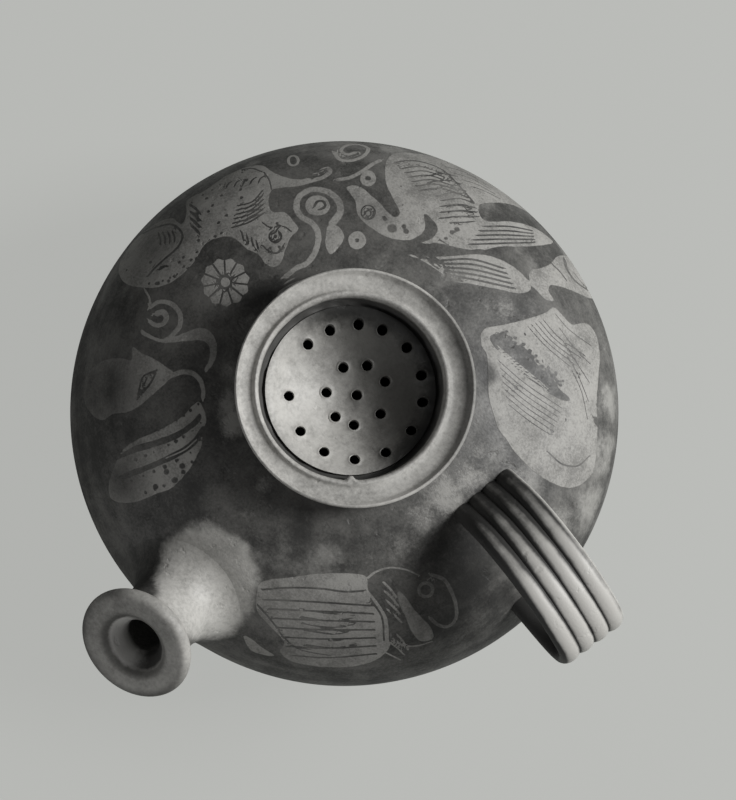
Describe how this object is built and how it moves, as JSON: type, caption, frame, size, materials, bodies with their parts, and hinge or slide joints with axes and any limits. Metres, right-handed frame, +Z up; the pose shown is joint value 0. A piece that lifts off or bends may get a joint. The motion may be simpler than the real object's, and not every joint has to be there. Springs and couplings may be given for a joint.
{
  "type": "puzzle jug",
  "caption": "Squat round clay puzzle jug with a strainer set in its mouth, a trumpet spout, a reeded loop handle and a filling tube from the base.",
  "frame": {"origin": "on the jug's axis, in the plane that the foot stands on", "axes": "+Z up along the jug's axis, the spout points along -Y, the handle reaches out towards +X"},
  "size_m": [0.1794, 0.1839, 0.0999],
  "materials": {
    "dark_slip": "dark burnished slip with a paler painted frieze, worn",
    "pale_clay": "matt pale clay, soot and age stains",
    "worn_clay": "slip worn through to clay on the ridges",
    "inside_clay": "bare fired clay"
  },
  "bodies": {
    "root": {"foot_ring": "inside_clay", "bowl": "dark_slip", "filling_tube": "inside_clay", "shoulder": "dark_slip", "neck_collar": "pale_clay", "strainer": "pale_clay", "spout": "pale_clay", "handle_reed_1": "worn_clay", "handle_reed_2": "worn_clay", "handle_reed_3": "worn_clay", "handle_reed_4": "worn_clay"}
  },
  "joints": []
}
